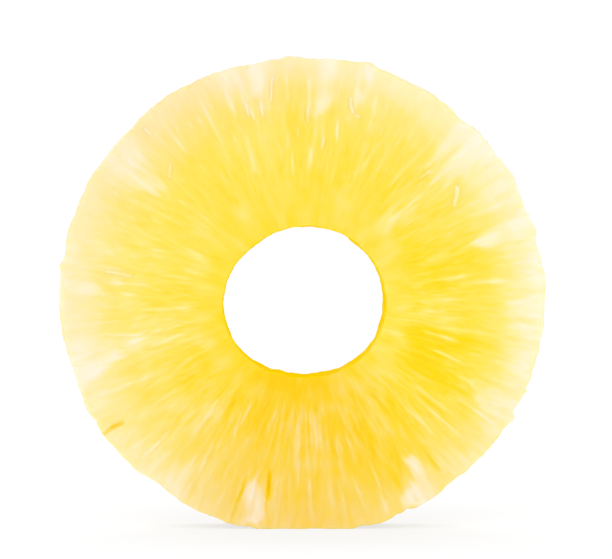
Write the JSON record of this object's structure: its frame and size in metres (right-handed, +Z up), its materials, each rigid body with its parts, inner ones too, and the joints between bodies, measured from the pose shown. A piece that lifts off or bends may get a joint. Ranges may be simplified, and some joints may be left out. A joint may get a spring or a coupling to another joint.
{
  "type": "pineapple ring",
  "caption": "Peeled and cored round slice of pineapple, standing on a flat spot of its rim.",
  "frame": {"origin": "middle of the slice's footprint, on the surface it stands on", "axes": "+Z up, +Y through the hole from the front cut face to the back one, +X to the right seen from the front"},
  "size_m": [0.0804, 0.0112, 0.0781],
  "materials": {
    "flesh": "wet translucent yellow fruit flesh, paler at the rim, with radial fibres"
  },
  "bodies": {
    "root": {"pineapple_ring": "flesh"}
  },
  "joints": []
}
